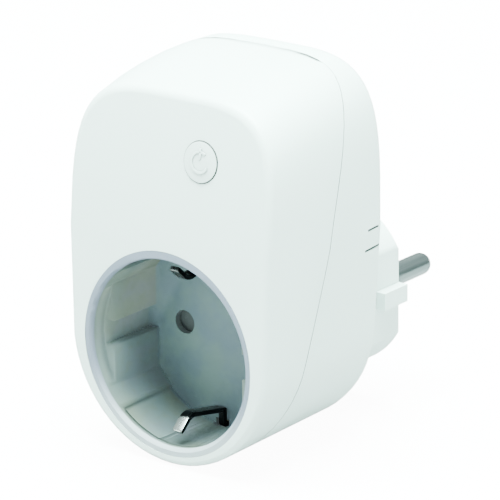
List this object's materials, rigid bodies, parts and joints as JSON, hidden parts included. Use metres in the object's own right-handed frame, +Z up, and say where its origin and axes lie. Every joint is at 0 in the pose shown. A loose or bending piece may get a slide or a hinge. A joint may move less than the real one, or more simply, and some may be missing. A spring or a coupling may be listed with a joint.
{
  "type": "plug-in power meter",
  "caption": "Plug-in power meter: a rounded white adapter with a frosted shuttered socket and a button in front, and a plug with round pins behind.",
  "frame": {"origin": "centre of the plug's engagement face, midway between the two pins; the socket's centre is 56.2 mm in front of it and 1.25 mm lower", "axes": "+Y points along the pins towards the wall, +Z is up, +X is to the right as seen from the front"},
  "size_m": [0.0542, 0.0752, 0.08],
  "materials": {
    "front_shell": "satin moulded white plastic, cool tint",
    "rear_shell": "fine satin moulded white plastic",
    "liner": "frosted translucent plastic that glows when lit from behind",
    "carrier": "off-white glass-filled plastic",
    "shutter": "grey moulded plastic",
    "button": "satin white plastic with a raised symbol",
    "nickel": "nickel-plated brass, lightly brushed",
    "clip_metal": "polished spring steel that mirrors the dark recess",
    "brass": "stamped spring brass",
    "copper": "stamped copper strip",
    "steel": "zinc-plated steel",
    "spring_steel": "drawn spring wire",
    "board": "green solder mask on glass epoxy",
    "led": "clear epoxy over a yellow phosphor",
    "ribbon": "polyimide ribbon",
    "wire_sleeve": "brown insulated wire",
    "black_plastic": "black moulded plastic",
    "shield": "tinned steel can",
    "film_capacitor": "yellow cast resin box",
    "capacitor_sleeve": "dark printed sleeve without print",
    "varistor_coat": "blue epoxy coat",
    "fuse_ceramic": "white ceramic",
    "choke_core": "ferrite bobbin with lacquered winding",
    "shunt_alloy": "manganin strip",
    "sheet": "fishpaper insulation"
  },
  "bodies": {
    "housing": {"front_cover": "front_shell", "rear_cover": "rear_shell", "housing_screws": "steel", "socket_liner": "liner", "socket_screws": "steel", "led_board": "board", "ring_leds": "led", "led_ribbon": "ribbon", "contact_carrier": "carrier", "shutter_spring": "spring_steel", "line_contact": "brass", "neutral_contact": "brass", "earth_ring": "brass", "live_pin": "nickel", "neutral_pin": "nickel", "pin_holder": "carrier", "plug_earth_contacts": "nickel", "earth_sleeve": "brass", "live_bar": "copper", "neutral_bar": "copper", "load_wire": "wire_sleeve", "switch_body": "black_plastic", "control_board": "board", "radio_shield": "shield", "antenna": "brass", "meter_chip": "black_plastic", "crystal": "shield", "board_header": "black_plastic", "main_board": "board", "relay": "black_plastic", "shunt": "shunt_alloy", "x2_capacitor": "film_capacitor", "electrolytic_capacitors": "capacitor_sleeve", "varistor": "varistor_coat", "thermal_fuse": "fuse_ceramic", "choke": "choke_core", "power_chips": "black_plastic", "insulating_sheet": "sheet"},
    "button": {"button_cap": "button"},
    "plunger": {"switch_plunger": "carrier"},
    "shutter": {"shutter_disc": "shutter"},
    "upper_earth_clip": {"earth_clip_top": "clip_metal"},
    "lower_earth_clip": {"earth_clip_bottom": "clip_metal"}
  },
  "joints": [
    {"name": "button_press", "type": "slide", "parent": "housing", "child": "button", "axis": [0, 0.9894, -0.1454], "range_m": [0, 0.0005], "stiffness_N_per_m": 3000},
    {"name": "plunger_press", "type": "slide", "parent": "housing", "child": "plunger", "axis": [0, 0.9894, -0.1454], "range_m": [0, 0.0005]},
    {"name": "shutter_turn", "type": "hinge", "parent": "housing", "child": "shutter", "pos_m": [0, -0.0363, -0.00125], "axis": [0, 1, 0], "range_deg": [0, 36], "stiffness_Nm_per_rad": 0.01},
    {"name": "upper_clip_flex", "type": "hinge", "parent": "housing", "child": "upper_earth_clip", "pos_m": [0, -0.0391, 0.01855], "axis": [-1, 0, 0], "range_deg": [0, 5], "stiffness_Nm_per_rad": 0.8},
    {"name": "lower_clip_flex", "type": "hinge", "parent": "housing", "child": "lower_earth_clip", "pos_m": [0, -0.0391, -0.02105], "axis": [1, 0, 0], "range_deg": [0, 5], "stiffness_Nm_per_rad": 0.8}
  ],
  "couplings": [
    {"joint": "plunger_press", "follows": "button_press", "ratio": 1}
  ]
}
